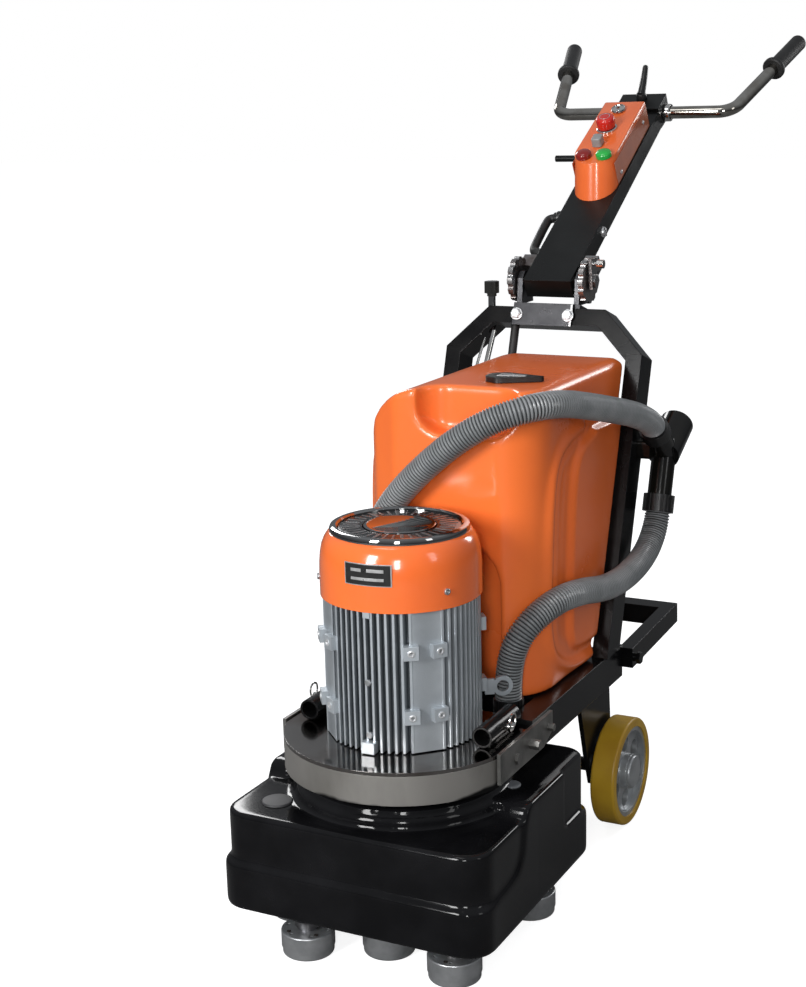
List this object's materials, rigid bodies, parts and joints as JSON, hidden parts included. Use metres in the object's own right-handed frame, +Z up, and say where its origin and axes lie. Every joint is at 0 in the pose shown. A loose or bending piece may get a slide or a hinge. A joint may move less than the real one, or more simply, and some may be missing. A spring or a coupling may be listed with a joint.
{
  "type": "concrete floor grinder",
  "caption": "Walk-behind concrete floor grinder with counter-turning puck heads under a shroud, upright electric motor, water tank, dust hoses, tilting handle arm and travel wheels.",
  "frame": {"origin": "on the floor, below the middle of the machine's bounding box", "axes": "+Y from the grinding head to the handles, +X to the right when looking along +Y, +Z up"},
  "size_m": [0.5426, 1.6344, 1.434],
  "materials": {
    "black_shroud": "gloss moulded",
    "gear_iron": "cast",
    "black_paint": "gloss black paint",
    "raw_steel": "brushed raw steel",
    "zinc_steel": "zinc plated",
    "gear_steel": "machined",
    "motor_cast": "fine cast, pale grey",
    "orange_cowl": "gloss orange paint",
    "chrome_trim": "polished",
    "orange_tank": "gloss moulded",
    "orange_box": "gloss orange paint",
    "black_plastic": "matte",
    "black_rubber": "matte",
    "hose_grey": "corrugated grey",
    "tyre_pu": "mustard polyurethane",
    "hub_cast": "cast",
    "red_plastic": "gloss",
    "dark_red": "gloss",
    "green_plastic": "gloss",
    "grey_plastic": "satin",
    "copper_core": "laminated core"
  },
  "bodies": {
    "chassis": {"hood": "black_shroud", "gear_case": "gear_iron", "gear_case_lid": "gear_iron", "bell_housing": "gear_iron", "motor_plate": "black_paint", "front_band": "raw_steel", "side_plates": "raw_steel", "frame_rails": "black_paint", "arch": "black_paint", "wheel_axle": "black_paint", "lift_lugs": "black_paint", "wheel_sockets": "black_paint", "hose_cuffs": "black_plastic", "y_fitting": "black_plastic", "hose_upper": "hose_grey", "hose_lower": "hose_grey", "hinge_mount": "black_paint", "hinge_pin": "zinc_steel", "motor_shields": "motor_cast", "motor_housing": "motor_cast", "stator": "copper_core", "cowl": "orange_cowl", "cowl_top": "chrome_trim", "water_tank": "orange_tank", "water_pipes": "chrome_trim", "motor_cable": "black_rubber"},
    "head_a": {"spindle_a": "gear_steel", "pucks_a": "zinc_steel"},
    "head_b": {"spindle_b": "gear_steel", "pucks_b": "zinc_steel"},
    "head_c": {"spindle_c": "gear_steel", "pucks_c": "zinc_steel"},
    "head_d": {"spindle_d": "gear_steel", "pucks_d": "zinc_steel"},
    "rotor": {"motor_rotor": "gear_steel", "cooling_fan": "black_plastic"},
    "wheel_left": {"tyre_left": "tyre_pu", "wheel_hub_left": "hub_cast"},
    "lock_pin_left": {"lock_pin_left": "chrome_trim"},
    "wheel_right": {"tyre_right": "tyre_pu", "wheel_hub_right": "hub_cast"},
    "lock_pin_right": {"lock_pin_right": "chrome_trim"},
    "arm": {"arm_tube": "black_paint", "index_discs": "zinc_steel", "control_box": "orange_box", "panel_fittings": "grey_plastic", "handlebar_clamp": "black_paint", "arm_conduit": "black_rubber"},
    "handlebar": {"handlebar": "chrome_trim", "grips": "black_rubber"},
    "clamp_lever": {"clamp_lever": "black_plastic"},
    "estop_button": {"estop_button": "red_plastic"},
    "red_button": {"red_button": "dark_red"},
    "green_button": {"green_button": "green_plastic"},
    "selector_knob": {"selector_knob": "grey_plastic"},
    "index_plunger": {"index_plunger": "chrome_trim"},
    "lift_bar": {"lift_bar": "black_paint"},
    "tank_lid": {"tank_lid": "black_plastic"},
    "valve_knob": {"valve_knob": "chrome_trim"}
  },
  "joints": [
    {"name": "head_a_spin", "type": "hinge", "parent": "chassis", "child": "head_a", "pos_m": [-0.1015, -0.69685, 0.09], "axis": [0, 0, 1], "continuous": true},
    {"name": "head_b_spin", "type": "hinge", "parent": "chassis", "child": "head_b", "pos_m": [0.1015, -0.69685, 0.09], "axis": [0, 0, 1], "continuous": true},
    {"name": "head_c_spin", "type": "hinge", "parent": "chassis", "child": "head_c", "pos_m": [0.1015, -0.49385, 0.09], "axis": [0, 0, 1], "continuous": true},
    {"name": "head_d_spin", "type": "hinge", "parent": "chassis", "child": "head_d", "pos_m": [-0.1015, -0.49385, 0.09], "axis": [0, 0, 1], "continuous": true},
    {"name": "rotor_spin", "type": "hinge", "parent": "chassis", "child": "rotor", "pos_m": [0, -0.59535, 0.4], "axis": [0, 0, 1], "continuous": true},
    {"name": "wheel_left_spin", "type": "hinge", "parent": "chassis", "child": "wheel_left", "pos_m": [-0.192, -0.10335, 0.1], "axis": [1, 0, 0], "continuous": true},
    {"name": "wheel_right_spin", "type": "hinge", "parent": "chassis", "child": "wheel_right", "pos_m": [0.192, -0.10335, 0.1], "axis": [1, 0, 0], "continuous": true},
    {"name": "arm_tilt", "type": "hinge", "parent": "chassis", "child": "arm", "pos_m": [0, 0.04565, 0.988], "axis": [1, 0, 0], "range_deg": [-20, 25]},
    {"name": "handlebar_tilt", "type": "hinge", "parent": "arm", "child": "handlebar", "pos_m": [0, 0.54453, 1.28192], "axis": [1, 0, 0], "range_deg": [-30, 30]},
    {"name": "clamp_lever_turn", "type": "hinge", "parent": "arm", "child": "clamp_lever", "pos_m": [0, 0.53851, 1.30747], "axis": [0, -0.515, 0.8572], "range_deg": [-90, 90]},
    {"name": "estop_push", "type": "slide", "parent": "arm", "child": "estop_button", "axis": [0, 0.4348, -0.9005], "range_m": [0, 0.005]},
    {"name": "red_push", "type": "slide", "parent": "arm", "child": "red_button", "axis": [0, 0.4348, -0.9005], "range_m": [0, 0.0025], "stiffness_N_per_m": 400},
    {"name": "green_push", "type": "slide", "parent": "arm", "child": "green_button", "axis": [0, 0.4348, -0.9005], "range_m": [0, 0.0025], "stiffness_N_per_m": 400},
    {"name": "selector_turn", "type": "hinge", "parent": "arm", "child": "selector_knob", "pos_m": [-0.004, 0.29181, 1.22681], "axis": [0, -0.4348, 0.9005], "range_deg": [-45, 45]},
    {"name": "plunger_push", "type": "slide", "parent": "chassis", "child": "index_plunger", "axis": [-1, 0, 0], "range_m": [0, 0.0074]},
    {"name": "lift_bar_tilt", "type": "hinge", "parent": "chassis", "child": "lift_bar", "pos_m": [0, -0.06835, 0.311], "axis": [1, 0, 0], "range_deg": [0, 45]},
    {"name": "tank_lid_lift", "type": "slide", "parent": "chassis", "child": "tank_lid", "axis": [0, 0, 1], "range_m": [0, 0.04]},
    {"name": "valve_turn", "type": "hinge", "parent": "chassis", "child": "valve_knob", "pos_m": [-0.114, 0.02165, 0.97], "axis": [0, 0, 1], "range_deg": [0, 270]},
    {"name": "lock_pin_left_pull", "type": "slide", "parent": "chassis", "child": "lock_pin_left", "axis": [-1, 0, 0], "range_m": [0, 0.055]},
    {"name": "lock_pin_right_pull", "type": "slide", "parent": "chassis", "child": "lock_pin_right", "axis": [1, 0, 0], "range_m": [0, 0.055]}
  ],
  "couplings": [
    {"joint": "head_b_spin", "follows": "head_a_spin", "ratio": -1},
    {"joint": "head_c_spin", "follows": "head_a_spin", "ratio": 1},
    {"joint": "head_d_spin", "follows": "head_a_spin", "ratio": -1},
    {"joint": "rotor_spin", "follows": "head_a_spin", "ratio": -2.4167}
  ]
}
